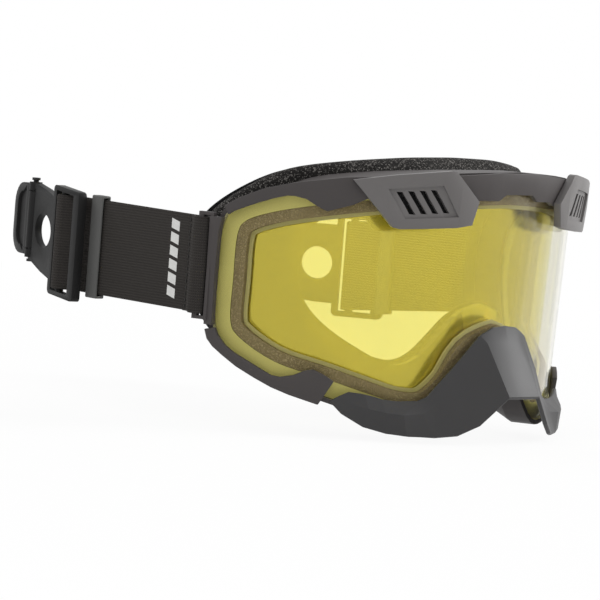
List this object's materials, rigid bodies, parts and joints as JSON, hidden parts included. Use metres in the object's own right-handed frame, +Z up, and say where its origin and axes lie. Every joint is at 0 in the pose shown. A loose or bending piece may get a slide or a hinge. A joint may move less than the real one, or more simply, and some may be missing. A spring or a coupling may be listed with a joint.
{
  "type": "motorcycle goggles",
  "caption": "Off-road goggles with a wrapped double lens, moulded frame, vent covers, nose guard, face foam and short straps that end in helmet clips with latches.",
  "frame": {"origin": "on the middle plane at mid lens height, on the axis of the cone that the lens is bent round, which is where the sides of the foam meet the temples", "axes": "+X to the right seen from the front, +Y back towards the wearer, +Z up"},
  "size_m": [0.2014, 0.2127, 0.1068],
  "materials": {
    "lens": "clear yellow, polished",
    "gasket": "speckled closed foam",
    "frame": "warm dark grey, satin",
    "guard": "dark grey, satin",
    "foam": "black speckled open foam",
    "lining": "black fleece",
    "strap": "woven elastic",
    "keeper": "smooth grey",
    "clip": "black, satin",
    "pin": "black"
  },
  "bodies": {
    "goggle_frame": {"frame_body": "frame", "brow_rim": "frame", "left_lower_rim": "frame", "right_lower_rim": "frame", "outer_lens": "lens", "lens_gasket": "gasket", "inner_lens": "lens", "face_foam": "foam", "face_lining": "lining", "left_vent_cover": "frame", "right_vent_cover": "frame", "left_vent_filter": "foam", "right_vent_filter": "foam", "nose_guard": "guard", "left_outrigger": "frame", "right_outrigger": "frame"},
    "left_strap": {"left_strap": "strap"},
    "left_keeper": {"left_keeper": "keeper"},
    "left_clip": {"left_clip_base": "clip", "left_clip_pin": "pin"},
    "left_latch": {"left_clip_latch": "clip"},
    "right_strap": {"right_strap": "strap"},
    "right_keeper": {"right_keeper": "keeper"},
    "right_clip": {"right_clip_base": "clip", "right_clip_pin": "pin"},
    "right_latch": {"right_clip_latch": "clip"}
  },
  "joints": [
    {"name": "left_strap_swing", "type": "hinge", "parent": "goggle_frame", "child": "left_strap", "pos_m": [-0.09714, -0.0247, -0.0058], "axis": [0, 0, -1], "range_deg": [-40, 12]},
    {"name": "left_keeper_slide", "type": "slide", "parent": "left_strap", "child": "left_keeper", "axis": [-0.0767, -0.997, -0.012], "range_m": [0, 0.032]},
    {"name": "left_clip_swing", "type": "hinge", "parent": "left_strap", "child": "left_clip", "pos_m": [-0.09089, 0.05646, -0.00482], "axis": [0, 0, -1], "range_deg": [-8, 25]},
    {"name": "left_latch_lift", "type": "hinge", "parent": "left_clip", "child": "left_latch", "pos_m": [-0.08274, 0.08199, 0.00169], "axis": [0, 0, 1], "range_deg": [0, 60]},
    {"name": "right_strap_swing", "type": "hinge", "parent": "goggle_frame", "child": "right_strap", "pos_m": [0.09714, -0.0247, -0.0058], "axis": [0, 0, 1], "range_deg": [-40, 12]},
    {"name": "right_keeper_slide", "type": "slide", "parent": "right_strap", "child": "right_keeper", "axis": [0.2071, -0.9742, 0.0896], "range_m": [0, 0.032]},
    {"name": "right_clip_swing", "type": "hinge", "parent": "right_strap", "child": "right_clip", "pos_m": [0.08021, 0.05492, -0.01313], "axis": [0, 0, 1], "range_deg": [-8, 25]},
    {"name": "right_latch_lift", "type": "hinge", "parent": "right_clip", "child": "right_latch", "pos_m": [0.06681, 0.07813, -0.01313], "axis": [0, 0, -1], "range_deg": [0, 60]}
  ]
}
